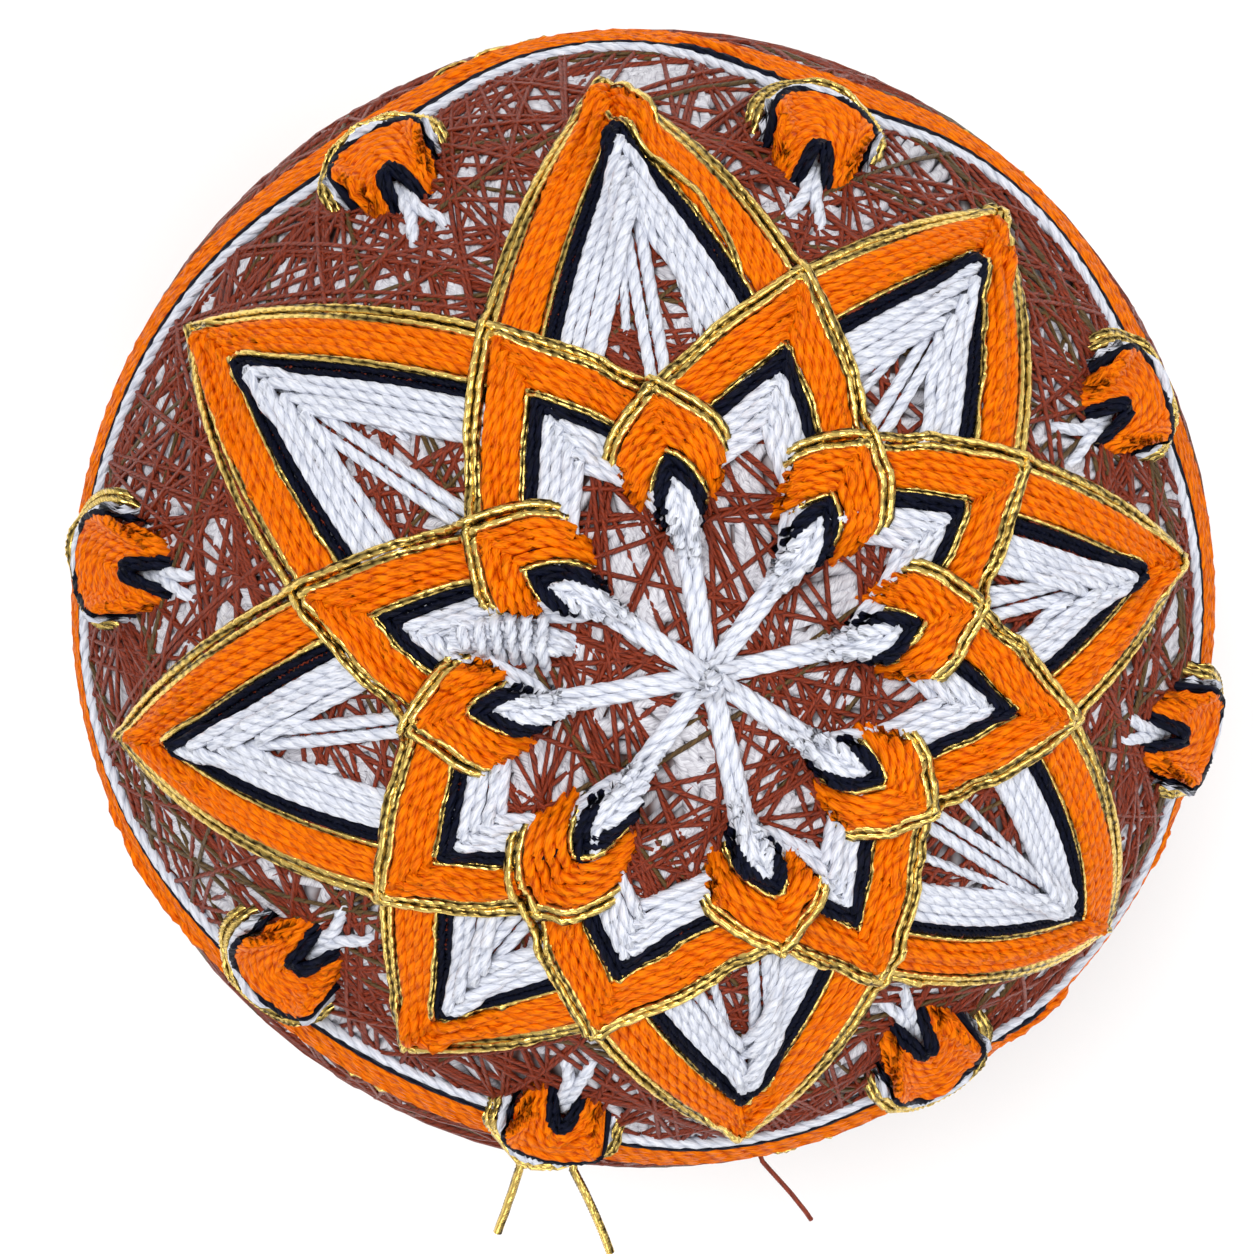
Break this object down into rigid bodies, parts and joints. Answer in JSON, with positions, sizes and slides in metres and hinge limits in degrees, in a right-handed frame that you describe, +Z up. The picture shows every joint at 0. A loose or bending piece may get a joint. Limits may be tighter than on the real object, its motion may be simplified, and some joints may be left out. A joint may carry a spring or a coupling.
{
  "type": "temari ball",
  "caption": "Wound thread ball embroidered with a petalled herringbone star on each pole and a zigzag band of herringbone loops round each star, with short loose thread ends at its rim.",
  "frame": {"origin": "middle of the flat spot the ball rests on, straight under its upper pole", "axes": "+Z up through the middle of the upper star; the loose thread ends leave the rim on the -Y side"},
  "size_m": [0.0785, 0.084, 0.078],
  "materials": {
    "mari_yarn": "matte wound white yarn",
    "gold_cord": "metallic gold cord",
    "brown_thread": "fine rust-brown thread",
    "white_thread": "soft twisted cotton",
    "navy_thread": "soft twisted cotton",
    "orange_thread": "lustrous twisted cotton"
  },
  "bodies": {
    "root": {"mari": "mari_yarn", "gold_end_left": "gold_cord", "gold_end_right": "gold_cord", "brown_end": "brown_thread"}
  },
  "joints": []
}
